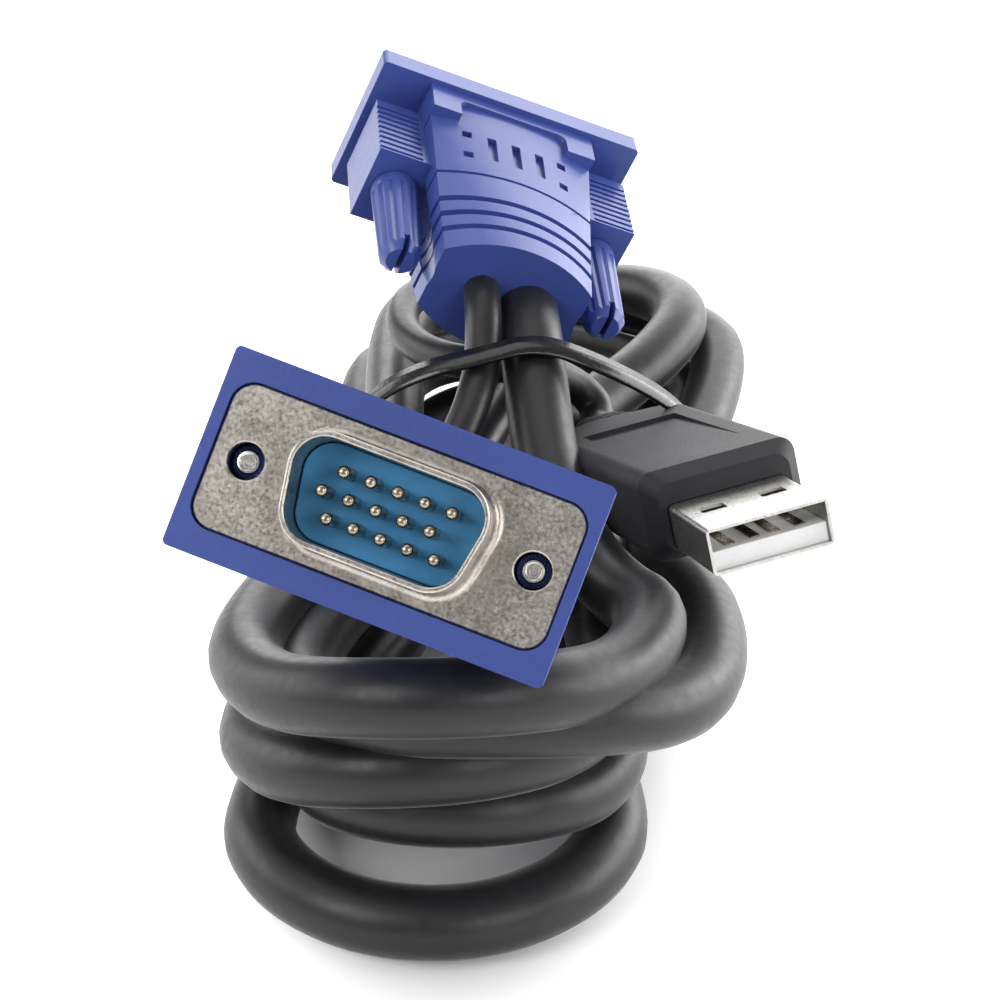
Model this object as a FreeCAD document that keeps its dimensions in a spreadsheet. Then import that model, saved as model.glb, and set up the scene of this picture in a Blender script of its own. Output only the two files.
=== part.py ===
import FreeCAD, Part
import math
import os
import Sketcher

from FreeCAD import Vector

# A combined video and USB cable, wound into a hank and held by one tie.
# One 15-pin video plug points forward, the other one back, and the USB plug lies at the right.
# Frame: +Z up, the hank lies on z = 0, +Y along it away from the front plug.
# Each plug has a frame of its own: z points out of its mating face and y is up.

SIZES = [
    # Places and turns of the three plugs: the middle of each mating face, then yaw, pitch and roll
    ("front_x", -11.0), ("front_y", -59.9), ("front_z", 48.2),
    ("front_yaw", -14.0), ("front_pitch", 16.2), ("front_roll", 58.0),
    ("rear_x", -4.0), ("rear_y", 41.3), ("rear_z", 43.1),
    ("rear_yaw", -170.3), ("rear_pitch", -22.7), ("rear_roll", 77.5),
    ("usb_x", 22.9), ("usb_y", -38.5), ("usb_z", 34.4),
    ("usb_yaw", 15.6), ("usb_pitch", -8.6), ("usb_roll", 73.5),
    # Metal front of the video plug
    ("flange_width", 30.8), ("flange_height", 12.5), ("flange_thick", 0.8), ("flange_round", 2.0),
    ("screw_inset", 2.9), ("screw_spacing", "=flange_width - 2 * screw_inset"), ("flange_hole", 3.1),
    ("shell_width", 16.9), ("shell_height", 8.4), ("shell_wall", 0.5), ("shell_reach", 5.9),
    ("shell_slope", 10.0), ("shell_round", 2.6), ("shell_foot", 0.9),
    ("seat_gap", 0.1),
    # Insulator and pins
    ("insulator_face", 0.4), ("insulator_depth", 6.0), ("insulator_rim", 1.0),
    ("insulator_width", "=shell_width + 2 * insulator_rim"),
    ("insulator_height", "=shell_height + 2 * insulator_rim"),
    ("pin_width", 1.0), ("pin_tip", 5.0), ("pin_pitch", 2.29), ("pin_row", 1.98), ("pin_shift", 0.57),
    ("pin_taper", 0.5), ("pin_point", 0.55), ("pin_sides", 8),
    # Moulded hood of the video plug
    ("collar_side", 1.1), ("collar_edge", 2.4), ("collar_depth", 2.6), ("collar_proud", 0.35),
    ("collar_round", 0.5), ("collar_width", "=flange_width + 2 * collar_side"),
    ("collar_height", "=flange_height + 2 * collar_edge"),
    ("waist_inset", 2.1), ("hood_wall", 0.9), ("body_height", 15.2), ("body_arch", 0.5),
    ("body_width", "=max(screw_spacing - 2 * waist_inset; insulator_width + 2 * hood_wall)"),
    ("band_inset", 0.1), ("band_width", "=body_width - 2 * band_inset"),
    ("band_proud", 0.35), ("band_height", "=body_height + 2 * band_proud"),
    ("band_end", 7.4), ("band_middle", 4.2), ("notch_width", 13.6), ("notch_round", 1.0),
    ("tail_inset", 1.5), ("tail_width", "=body_width - 2 * tail_inset"),
    ("tail_drop", 0.8), ("tail_height", "=body_height - 2 * tail_drop"), ("tail_arch", 3.0),
    ("hood_length", 31.0),
    ("ear_reach", 3.5), ("ear_width", "=screw_spacing + 2 * ear_reach"), ("ear_height", 9.4),
    ("ear_start", 4.6), ("ear_end", 15.5),
    ("neck_reach", 2.0), ("neck_width", "=screw_spacing + 2 * neck_reach"), ("neck_height", 7.6),
    ("rib_pitch", 1.1), ("rib_wide", 0.5), ("rib_deep", 0.35), ("rib_first", 6.0), ("rib_clear", 0.4),
    ("rib_count", 9),
    ("groove_first", 22.0), ("groove_pitch", 2.6), ("groove_wide", 0.9), ("groove_deep", 0.6), ("groove_count", 3),
    ("line_back", 17.4), ("line_wide", 0.5), ("line_deep", 0.2), ("cut_margin", 1.0),
    ("bar_wide", 1.1), ("bar_long", 4.6), ("bar_pitch", 3.0), ("bar_count", 3), ("dimple_back", 12.0),
    ("bar_deep", 0.9), ("bar_floor", "=body_height / 2 - bar_deep"),
    ("dot_size", 1.15), ("dot_out", 6.0), ("dot_half", 2.0),
    ("dot_deep", 1.3), ("dot_floor", "=body_height / 2 - dot_deep"),
    # Thumbscrews
    ("knob_size", 6.8), ("knob_start", 15.8), ("knob_end", 30.0), ("knob_chamfer", 1.1),
    ("knob_clearance", 0.4),
    ("flute_count", 12), ("flute_deep", 0.3), ("flute_wide", 1.2), ("flute_start", 17.2),
    ("slot_wide", 1.0), ("slot_deep", 2.2),
    ("screw_size", 2.85), ("screw_tip", 1.2), ("screw_hold", 8.0), ("screw_bevel", 0.35), ("thread_gap", 0.05),
    ("screw_clearance", 0.35),
    # USB plug
    ("usb_shell_width", 12.0), ("usb_shell_height", 4.5), ("usb_wall", 0.3), ("usb_round", 0.5),
    ("usb_exposed", 12.0), ("usb_held", 6.0),
    ("window_wide", 2.5), ("window_long", 2.0), ("window_back", 7.0), ("window_out", 3.0),
    ("tongue_height", 1.85), ("tongue_back", 0.6), ("tongue_gap", 0.05),
    ("contact_wide", 1.0), ("contact_thick", 0.15), ("contact_inner", 1.0), ("contact_outer", 3.5),
    ("contact_start", 1.6), ("contact_long", 8.0),
    ("mould_width", 16.2), ("mould_height", 9.2), ("mould_rise", 0.9),
    ("mould_round", 1.6), ("mould_face_width", 13.6), ("mould_face_height", 7.0), ("mould_bevel", 1.8),
    ("back_width", 17.2), ("back_height", 7.4), ("back_rise", -0.3), ("mould_end", 42.0),
    ("neck_start", 44.6), ("relief_width", 9.4), ("relief_height", 6.4), ("relief_round", 2.4),
    ("tail_neck_width", 7.4), ("tail_neck_height", 5.8), ("usb_length", 51.0),
    ("slit_first", 45.8), ("slit_pitch", 2.0), ("slit_wide", 0.8), ("slit_deep", 0.4), ("slit_count", 2),
    ("thumb_half", 5.2), ("thumb_back", 36.6), ("thumb_front", 19.0), ("thumb_deep", 0.5),
    # Cable
    ("cable_size", 7.0), ("pigtail_size", 4.0), ("cable_sides", 10),
    ("rear_straight", 5.0), ("front_straight", 13.0), ("thin_straight", 3.0), ("usb_straight", 5.0),
    ("thick_bore_x", -2.9), ("thick_bore_y", -0.5), ("thin_bore_x", 3.0), ("thin_bore_y", 0.3),
    # Hank: a flat coil pinched at the waist, with an eye at each end
    ("front_bend_x", -4.1), ("front_bend_y", -36.0), ("front_bend_round", 25.6),
    ("back_bend_x", 4.1), ("back_bend_y", 42.8), ("back_bend_round", 25.6),
    ("waist_y", 0.0), ("waist_left", -18.0), ("waist_right", 16.6), ("waist_round", 30.0),
    ("front_eye_x", -5.6), ("front_eye_y", -40.5), ("front_eye_round", 14.5), ("front_eye_reach", 33.0),
    ("back_eye_x", 4.0), ("back_eye_y", 39.5), ("back_eye_round", 15.0), ("back_eye_reach", 30.0),
    ("front_top", 32.4), ("shoulder_top", 26.0), ("waist_top", 13.5), ("back_top", 19.5),
    ("shoulder_y", -34.0), ("waist_front_y", -6.0), ("waist_back_y", 22.0), ("back_shoulder_y", 44.0),
    # Tie
    ("tie_y", 0.5), ("tie_wide", 4.0), ("tie_thick", 0.7), ("tie_slack", 0.3),
]

# Routes of the cable's free stretches. Each one starts at its plug.
REAR_LEAD = [(2.0, 0.5, 30.6), (2.8, -7.5, 26.6), (5.0, -17.0, 23.0), (9.5, -26.0, 21.2), (13.0, -35.0, 20.5)]
FRONT_LEAD = [(0.2, -1.0, 16.5), (2.6, 12.0, 16.0), (8.6, 25.0, 16.8), (17.2, 35.5, 18.6), (22.5, 45.0, 16.5)]
PIGTAIL = [
    (-3.8, 2.6, 33.2), (-5.0, -3.4, 30.8), (-6.6, -7.2, 28.6), (-7.8, -8.8, 25.2), (-8.2, -7.4, 22.0),
    (-7.5, -3.6, 20.8), (-5.6, 1.4, 20.8), (-2.6, 10.6, 21.8), (0.6, 21.0, 23.2), (3.2, 32.6, 24.0),
    (0.6, 42.6, 24.5), (-7.0, 44.8, 25.5), (-13.4, 38.2, 26.0), (-14.0, 28.0, 26.0), (-10.4, 19.4, 26.5),
    (-4.2, 14.8, 27.4), (2.0, 15.6, 26.6), (6.6, 18.6, 23.4), (9.6, 17.6, 20.6),
]
# The tie's loop across the bundle, as x and z
TIE_LOOP = [
    (-20.4, 1.4), (-18.6, 0.0), (17.8, 0.0), (19.6, 1.4), (22.9, 14.0), (24.2, 26.0), (19.6, 30.4), (9.0, 34.0),
    (1.9, 35.5), (-4.6, 35.2), (-12.8, 30.6), (-19.6, 16.0),
]

doc = FreeCAD.newDocument("kvm_cable")
sheet = doc.addObject("Spreadsheet::Sheet", "Sizes")
for row, (alias, amount) in enumerate(SIZES, start=1):
    sheet.set(f"A{row}", alias)
    sheet.set(f"B{row}", str(amount))
    sheet.setAlias(f"B{row}", alias)
doc.recompute()


def size(alias):
    """The number that a cell of the sheet holds."""
    return float(sheet.get(alias))


def plug_place(name):
    """Expression for the frame of one plug."""
    base = "vector(" + "; ".join(f"Sizes.{name}_{axis}" for axis in "xyz") + ")"
    turn = "rotation(" + "; ".join(f"Sizes.{name}_{angle}" for angle in ("yaw", "pitch", "roll")) + ")"
    return f"placement({base}; {turn})"


def beside(place, across):
    """Expression for a frame that lies to one side of a plug's frame."""
    return f"{place} * placement(vector({across}; 0; 0); rotation(0; 0; 0))"


def new_body(label, place=None):
    body = doc.addObject("PartDesign::Body", label)
    body.Label = label
    if place:
        body.setExpression("Placement", place)
    return body


def add_sketch(body, name, role="XY_Plane", lift=None, across=None, along=None):
    """A sketch on one of the body's own planes, moved by expressions."""
    sketch = body.newObject("Sketcher::SketchObject", f"{body.Label}_{name}")
    plane = [feature for feature in body.Origin.OriginFeatures if feature.Role == role][0]
    sketch.AttachmentSupport = [(plane, "")]
    sketch.MapMode = "FlatFace"
    for axis, move in (("x", across), ("y", along), ("z", lift)):
        if move:
            sketch.setExpression(f"AttachmentOffset.Base.{axis}", move)
    return sketch


def hold(sketch, kind, place, expression):
    """A sketch dimension that follows an expression."""
    amount = sketch.evalExpression(expression)
    index = sketch.addConstraint(Sketcher.Constraint(kind, *place, float(amount)))
    sketch.setExpression(f"Constraints[{index}]", expression)


def closed_lines(sketch, corners):
    """Joined line segments through the corners, in order."""
    first = sketch.GeometryCount
    count = len(corners)
    for index in range(count):
        start = Vector(*corners[index], 0)
        end = Vector(*corners[(index + 1) % count], 0)
        sketch.addGeometry(Part.LineSegment(start, end), False)
    for index in range(count):
        after = first + (index + 1) % count
        sketch.addConstraint(Sketcher.Constraint("Coincident", first + index, 2, after, 1))
    return first


def rectangle(sketch, width, height):
    half_x = float(sketch.evalExpression(width)) / 2
    half_y = float(sketch.evalExpression(height)) / 2
    first = closed_lines(sketch, [(-half_x, half_y), (half_x, half_y), (half_x, -half_y), (-half_x, -half_y)])
    sketch.addConstraint(Sketcher.Constraint("Horizontal", first))
    sketch.addConstraint(Sketcher.Constraint("Vertical", first + 1))
    sketch.addConstraint(Sketcher.Constraint("Horizontal", first + 2))
    sketch.addConstraint(Sketcher.Constraint("Vertical", first + 3))
    sketch.addConstraint(Sketcher.Constraint("Symmetric", first, 1, first + 2, 1, -1, 1))
    hold(sketch, "DistanceX", (first, 1, first, 2), width)
    hold(sketch, "DistanceY", (first + 1, 2, first + 1, 1), height)


def rounded_rectangle(sketch, width, height, radius):
    half_x = float(sketch.evalExpression(width)) / 2
    half_y = float(sketch.evalExpression(height)) / 2
    bend = float(sketch.evalExpression(radius))
    in_x = half_x - bend
    in_y = half_y - bend
    sides = [((-in_x, half_y), (in_x, half_y)), ((half_x, in_y), (half_x, -in_y)),
             ((in_x, -half_y), (-in_x, -half_y)), ((-half_x, -in_y), (-half_x, in_y))]
    for start, end in sides:
        sketch.addGeometry(Part.LineSegment(Vector(*start, 0), Vector(*end, 0)), False)
    corners = [((in_x, in_y), 0), ((in_x, -in_y), 270), ((-in_x, -in_y), 180), ((-in_x, in_y), 90)]
    for centre, angle in corners:
        circle = Part.Circle(Vector(*centre, 0), Vector(0, 0, 1), bend)
        arc = Part.ArcOfCircle(circle, math.radians(angle), math.radians(angle + 90))
        sketch.addGeometry(arc, False)
    for side in range(4):
        sketch.addConstraint(Sketcher.Constraint("Tangent", side, 2, 4 + side, 2))
        sketch.addConstraint(Sketcher.Constraint("Tangent", 4 + side, 1, (side + 1) % 4, 1))
        sketch.addConstraint(Sketcher.Constraint("Vertical" if side % 2 else "Horizontal", side))
    for corner in (5, 6, 7):
        sketch.addConstraint(Sketcher.Constraint("Equal", 4, corner))
    sketch.addConstraint(Sketcher.Constraint("Symmetric", 4, 3, 6, 3, -1, 1))
    hold(sketch, "Radius", (4,), radius)
    hold(sketch, "DistanceX", (3, 2, 1, 1), width)
    hold(sketch, "DistanceY", (2, 1, 0, 2), height)


def barrel(sketch, width, height, arch):
    """A section with upright sides and a top and bottom that bow out by the arch."""
    half_x = float(sketch.evalExpression(width)) / 2
    top = float(sketch.evalExpression(height)) / 2
    bow = float(sketch.evalExpression(arch))
    side = top - bow
    first = sketch.GeometryCount
    sketch.addGeometry(Part.LineSegment(Vector(-half_x, -side, 0), Vector(-half_x, side, 0)), False)
    sketch.addGeometry(Part.LineSegment(Vector(half_x, side, 0), Vector(half_x, -side, 0)), False)
    upper = Part.Arc(Vector(half_x, side, 0), Vector(0, top, 0), Vector(-half_x, side, 0))
    lower = Part.Arc(Vector(-half_x, -side, 0), Vector(0, -top, 0), Vector(half_x, -side, 0))
    sketch.addGeometry(upper, False)
    sketch.addGeometry(lower, False)
    sketch.addConstraint(Sketcher.Constraint("Coincident", first + 2, 1, first + 1, 1))
    sketch.addConstraint(Sketcher.Constraint("Coincident", first + 2, 2, first, 2))
    sketch.addConstraint(Sketcher.Constraint("Coincident", first + 3, 1, first, 1))
    sketch.addConstraint(Sketcher.Constraint("Coincident", first + 3, 2, first + 1, 2))
    sketch.addConstraint(Sketcher.Constraint("Vertical", first + 1))
    sketch.addConstraint(Sketcher.Constraint("Symmetric", first, 2, first + 1, 1, -2))
    sketch.addConstraint(Sketcher.Constraint("Symmetric", first, 1, first + 1, 1, -1, 1))
    sketch.addConstraint(Sketcher.Constraint("Horizontal", first, 1, first + 1, 2))
    sketch.addConstraint(Sketcher.Constraint("Equal", first + 2, first + 3))
    hold(sketch, "DistanceX", (first, 2, first + 1, 1), width)
    hold(sketch, "DistanceY", (first, 1, first, 2), f"({height}) - 2 * ({arch})")
    hold(sketch, "Radius", (first + 2,), f"({width}) ^ 2 / (8 * ({arch})) + ({arch}) / 2")


def dee(sketch, width, height, radius):
    """The plug's D outline with rounded corners, wide side up."""
    slope = math.radians(size("shell_slope"))
    half_y = float(sketch.evalExpression(height)) / 2
    bend = float(sketch.evalExpression(radius))
    upper = f"({width}) / 2 - ({radius}) / tan(45 deg - Sizes.shell_slope * 0.5 deg)"
    lower = (f"({width}) / 2 - ({height}) * tan(Sizes.shell_slope * 1 deg)"
             f" - ({radius}) / tan(45 deg + Sizes.shell_slope * 0.5 deg)")
    high_x = float(sketch.evalExpression(upper))
    low_x = float(sketch.evalExpression(lower))
    in_y = half_y - bend
    centres = [Vector(high_x, in_y, 0), Vector(low_x, -in_y, 0), Vector(-low_x, -in_y, 0), Vector(-high_x, in_y, 0)]
    facing = [Vector(0, bend, 0), Vector(bend * math.cos(slope), -bend * math.sin(slope), 0),
              Vector(0, -bend, 0), Vector(-bend * math.cos(slope), -bend * math.sin(slope), 0)]
    for side in range(4):
        start = centres[side - 1] + facing[side]
        end = centres[side] + facing[side]
        sketch.addGeometry(Part.LineSegment(start, end), False)
    for corner, centre in enumerate(centres):
        ring = Part.Circle(centre, Vector(0, 0, 1), bend)
        low = math.atan2(facing[(corner + 1) % 4].y, facing[(corner + 1) % 4].x)
        high = math.atan2(facing[corner].y, facing[corner].x)
        sketch.addGeometry(Part.ArcOfCircle(ring, low, high), False)
    for side in range(4):
        sketch.addConstraint(Sketcher.Constraint("Tangent", side, 2, 4 + side, 2))
        sketch.addConstraint(Sketcher.Constraint("Tangent", 4 + side, 1, (side + 1) % 4, 1))
    for corner in (5, 6, 7):
        sketch.addConstraint(Sketcher.Constraint("Equal", 4, corner))
    sketch.addConstraint(Sketcher.Constraint("Symmetric", 4, 3, 7, 3, -2))
    sketch.addConstraint(Sketcher.Constraint("Symmetric", 5, 3, 6, 3, -2))
    hold(sketch, "Radius", (4,), radius)
    hold(sketch, "DistanceX", (-1, 1, 4, 3), upper)
    hold(sketch, "DistanceX", (-1, 1, 5, 3), lower)
    hold(sketch, "DistanceY", (-1, 1, 4, 3), f"({height}) / 2 - ({radius})")
    hold(sketch, "DistanceY", (5, 3, -1, 1), f"({height}) / 2 - ({radius})")


def circle(sketch, diameter):
    radius = float(sketch.evalExpression(diameter)) / 2
    sketch.addGeometry(Part.Circle(Vector(0, 0, 0), Vector(0, 0, 1), radius), False)
    sketch.addConstraint(Sketcher.Constraint("Coincident", 0, 3, -1, 1))
    hold(sketch, "Radius", (0,), f"({diameter}) / 2")


def circle_pair(sketch, diameter, spacing):
    """Two circles side by side on the sketch's own x axis."""
    radius = float(sketch.evalExpression(diameter)) / 2
    half = float(sketch.evalExpression(spacing)) / 2
    for x in (-half, half):
        sketch.addGeometry(Part.Circle(Vector(x, 0, 0), Vector(0, 0, 1), radius), False)
    sketch.addConstraint(Sketcher.Constraint("Symmetric", 0, 3, 1, 3, -1, 1))
    sketch.addConstraint(Sketcher.Constraint("PointOnObject", 0, 3, -1))
    sketch.addConstraint(Sketcher.Constraint("Equal", 0, 1))
    hold(sketch, "DistanceX", (0, 3, 1, 3), spacing)
    hold(sketch, "Radius", (0,), f"({diameter}) / 2")


def settle(feature):
    """Works a new feature out and stops at once if it failed."""
    doc.recompute()
    for thing in [feature] + feature.OutList:
        if "Invalid" in thing.State or "Error" in thing.State:
            raise ValueError(f"{thing.Name} failed: {thing.getStatusString()}")
    return feature


def pad(body, sketch, length):
    feature = body.newObject("PartDesign::Pad", f"{sketch.Name}_pad")
    feature.Profile = sketch
    feature.setExpression("Length", length)
    return settle(feature)


def pocket(body, sketch, length, reverse=False):
    """Cuts against the sketch's own normal, or along it when reversed."""
    before = body.Shape.Volume
    feature = body.newObject("PartDesign::Pocket", f"{sketch.Name}_pocket")
    feature.Profile = sketch
    feature.Reversed = reverse
    feature.setExpression("Length", length)
    settle(feature)
    if not body.Shape.Volume < before:
        raise ValueError(f"{feature.Name} cuts nothing")
    return feature


def loft(body, start, end):
    feature = body.newObject("PartDesign::AdditiveLoft", f"{end.Name}_loft")
    feature.Profile = start
    feature.Sections = [end]
    return settle(feature)


def row_of(body, feature, sketch, axis, span, count, reverse=False):
    """Repeats a feature along one axis of its sketch."""
    pattern = body.newObject("PartDesign::LinearPattern", f"{feature.Name}_row")
    pattern.Originals = [feature]
    pattern.Direction = (sketch, [axis])
    pattern.Reversed = reverse
    pattern.setExpression("Length", span)
    pattern.setExpression("Occurrences", count)
    body.Tip = pattern
    return settle(pattern)


def round_edges(body, chosen, radius, kind="PartDesign::Fillet"):
    """Rounds or bevels the edges for which chosen(edge) holds."""
    base = body.Tip
    names = [f"Edge{index}" for index, edge in enumerate(base.Shape.Edges, start=1) if chosen(edge)]
    feature = body.newObject(kind, f"{base.Name}_edges")
    feature.Base = (base, names)
    feature.setExpression("Radius" if kind == "PartDesign::Fillet" else "Size", radius)
    return settle(feature)


def lies_at(edge, height):
    """True for an edge whose ends and middle are all at one height."""
    middle = edge.valueAt((edge.FirstParameter + edge.LastParameter) / 2)
    return all(abs(point.z - height) < 0.001 for point in [vertex.Point for vertex in edge.Vertexes] + [middle])


# Metal front: a flat flange with a D-shaped shell drawn out of it and two holes for the screws
def make_shell(name, place):
    body = new_body(f"{name}_shell", place)
    flange = add_sketch(body, "flange", lift="-Sizes.flange_thick")
    rounded_rectangle(flange, "Sizes.flange_width", "Sizes.flange_height", "Sizes.flange_round")
    pad(body, flange, "Sizes.flange_thick")
    outside = add_sketch(body, "outside")
    dee(outside, "Sizes.shell_width + 2 * Sizes.shell_wall", "Sizes.shell_height + 2 * Sizes.shell_wall",
        "Sizes.shell_round + Sizes.shell_wall")
    pad(body, outside, "Sizes.shell_reach")
    half_width = size("flange_width") / 2 - size("flange_round")
    half_height = (size("shell_height") + size("flange_height")) / 4
    round_edges(body, lambda edge: lies_at(edge, 0) and abs(edge.CenterOfMass.x) < half_width
                and abs(edge.CenterOfMass.y) < half_height, "Sizes.shell_foot")
    inside = add_sketch(body, "inside", lift="Sizes.shell_reach")
    dee(inside, "Sizes.shell_width", "Sizes.shell_height", "Sizes.shell_round")
    pocket(body, inside, "Sizes.shell_reach + Sizes.flange_thick")
    holes = add_sketch(body, "holes")
    circle_pair(holes, "Sizes.flange_hole", "Sizes.screw_spacing")
    pocket(body, holes, "Sizes.flange_thick")
    return body


# Insulator: a block behind the flange with a D-shaped face that fills the foot of the shell
def make_insulator(name, place):
    body = new_body(f"{name}_insulator", place)
    block = add_sketch(body, "block", lift="-Sizes.insulator_depth")
    rectangle(block, "Sizes.insulator_width", "Sizes.insulator_height")
    pad(body, block, "Sizes.insulator_depth - Sizes.flange_thick")
    face = add_sketch(body, "face", lift="-Sizes.flange_thick")
    dee(face, "Sizes.shell_width - 2 * Sizes.seat_gap", "Sizes.shell_height - 2 * Sizes.seat_gap",
        "Sizes.shell_round - Sizes.seat_gap")
    pad(body, face, "Sizes.flange_thick + Sizes.insulator_face")
    return body


# Pins: three staggered rows of five, the part that stands out of the insulator
def make_pins(name, place):
    heights = [size("insulator_face"), size("pin_tip") - size("pin_taper"), size("pin_tip")]
    radii = [size("pin_width") / 2, size("pin_width") / 2, size("pin_width") / 2 * size("pin_point")]
    sides = int(size("pin_sides"))
    pins = []
    for row, shift in ((1, 1), (0, -1), (-1, 1)):
        for column in range(-2, 3):
            middle = Vector(column * size("pin_pitch") + shift * size("pin_shift"), row * size("pin_row"), 0)
            rings = []
            for height, radius in zip(heights, radii):
                corners = [middle + Vector(radius * math.cos(2 * math.pi * step / sides),
                                           radius * math.sin(2 * math.pi * step / sides), height)
                           for step in range(sides + 1)]
                rings.append(Part.makePolygon(corners))
            pins.append(Part.makeLoft(rings, True, True))
    feature = doc.addObject("Part::Feature", f"{name}_pins")
    feature.Label = f"{name}_pins"
    feature.Shape = Part.makeCompound(pins)
    feature.setExpression("Placement", place)
    return feature


def round_cut(sketch, back, deep):
    """The section of a cut all round the tapered part of the hood, this deep at that distance back."""
    rectangle(sketch, "Sizes.body_width + 2 * Sizes.cut_margin", "Sizes.body_height + 2 * Sizes.cut_margin")
    share = f"(({back}) - Sizes.collar_depth) / (Sizes.hood_length - Sizes.collar_depth)"
    width, height = (f"Sizes.body_{way} + (Sizes.tail_{way} - Sizes.body_{way}) * {share} - 2 * {deep}"
                     for way in ("width", "height"))
    barrel(sketch, width, height, f"Sizes.body_arch + (Sizes.tail_arch - Sizes.body_arch) * {share}")


# Hood: a collar round the flange, an arched body that tapers to the cable, and an ear for each thumbscrew
def make_hood(name, place):
    body = new_body(f"{name}_hood", place)
    collar = add_sketch(body, "collar", lift="-Sizes.collar_depth")
    rounded_rectangle(collar, "Sizes.collar_width", "Sizes.collar_height", "Sizes.collar_round")
    pad(body, collar, "Sizes.collar_depth + Sizes.collar_proud")

    band = add_sketch(body, "band", lift="-Sizes.band_end")
    rectangle(band, "Sizes.band_width", "Sizes.band_height")
    pad(body, band, "Sizes.band_end - Sizes.collar_depth")
    notch = add_sketch(body, "notch", "XZ_Plane", lift="Sizes.band_height / 2", along="-Sizes.band_end")
    rounded_rectangle(notch, "Sizes.notch_width", "2 * (Sizes.band_end - Sizes.band_middle)", "Sizes.notch_round")
    pocket(body, notch, "Sizes.band_height")

    shoulder = add_sketch(body, "shoulder", lift="-Sizes.collar_depth")
    barrel(shoulder, "Sizes.body_width", "Sizes.body_height", "Sizes.body_arch")
    tail = add_sketch(body, "tail", lift="-Sizes.hood_length")
    barrel(tail, "Sizes.tail_width", "Sizes.tail_height", "Sizes.tail_arch")
    loft(body, shoulder, tail)

    line = add_sketch(body, "line", lift="-Sizes.line_back")
    round_cut(line, "Sizes.line_back + Sizes.line_wide", "Sizes.line_deep")
    pocket(body, line, "Sizes.line_wide")
    groove = add_sketch(body, "groove", lift="-Sizes.groove_first")
    round_cut(groove, "Sizes.groove_first + Sizes.groove_pitch", "Sizes.groove_deep")
    cut = pocket(body, groove, "Sizes.groove_wide")
    row_of(body, cut, groove, "N_Axis", "Sizes.groove_pitch * (Sizes.groove_count - 1)", "Sizes.groove_count", True)

    neck = add_sketch(body, "neck", lift="-Sizes.ear_start")
    rectangle(neck, "Sizes.neck_width", "Sizes.neck_height")
    pad(body, neck, "Sizes.ear_start - Sizes.collar_depth")
    ear = add_sketch(body, "ear", lift="-Sizes.ear_end")
    rectangle(ear, "Sizes.ear_width", "Sizes.ear_height")
    pad(body, ear, "Sizes.ear_end - Sizes.ear_start")
    rib_middle = "-(Sizes.rib_first + Sizes.rib_wide / 2)"
    for side, sign in (("right", ""), ("left", "-")):
        rib = add_sketch(body, f"{side}_rib", "YZ_Plane", lift=f"{sign}(Sizes.body_width / 2 + Sizes.rib_clear)",
                         across="Sizes.ear_height / 2", along=rib_middle)
        rectangle(rib, "2 * Sizes.rib_deep", "Sizes.rib_wide")
        slit = pocket(body, rib, "Sizes.ear_width", reverse=side == "right")
        row_of(body, slit, rib, "V_Axis", "Sizes.rib_pitch * (Sizes.rib_count - 1)", "Sizes.rib_count", True)

    seat = add_sketch(body, "seat", lift="Sizes.collar_proud")
    rounded_rectangle(seat, "Sizes.flange_width + 2 * Sizes.seat_gap", "Sizes.flange_height + 2 * Sizes.seat_gap",
                      "Sizes.flange_round + Sizes.seat_gap")
    pocket(body, seat, "Sizes.collar_proud + Sizes.flange_thick")
    cavity = add_sketch(body, "cavity", lift="-Sizes.flange_thick")
    rectangle(cavity, "Sizes.insulator_width + 2 * Sizes.seat_gap", "Sizes.insulator_height + 2 * Sizes.seat_gap")
    pocket(body, cavity, "Sizes.insulator_depth - Sizes.flange_thick")
    bores = add_sketch(body, "bores", lift="-Sizes.flange_thick")
    circle_pair(bores, "Sizes.screw_size + 2 * Sizes.screw_clearance", "Sizes.screw_spacing")
    pocket(body, bores, "Sizes.ear_end")
    room = add_sketch(body, "knob_room", lift="-Sizes.ear_end")
    circle_pair(room, "Sizes.knob_size + 2 * Sizes.knob_clearance", "Sizes.screw_spacing")
    pocket(body, room, "Sizes.hood_length - Sizes.ear_end")

    bar = add_sketch(body, "bar", "XZ_Plane", lift="-Sizes.body_height", across="-Sizes.bar_pitch",
                     along="-Sizes.dimple_back")
    rectangle(bar, "Sizes.bar_wide", "Sizes.bar_long")
    press = pocket(body, bar, "Sizes.body_height - Sizes.bar_floor", reverse=True)
    row_of(body, press, bar, "H_Axis", "Sizes.bar_pitch * (Sizes.bar_count - 1)", "Sizes.bar_count")
    for label, shift in (("front", "+"), ("back", "-")):
        dot = add_sketch(body, f"{label}_dot", "XZ_Plane", lift="-Sizes.body_height", across="-Sizes.dot_out",
                         along=f"-Sizes.dimple_back {shift} Sizes.dot_half")
        rectangle(dot, "Sizes.dot_size", "Sizes.dot_size")
        press = pocket(body, dot, "Sizes.body_height - Sizes.dot_floor", reverse=True)
        row_of(body, press, dot, "H_Axis", "2 * Sizes.dot_out", "2")
    return body


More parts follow.
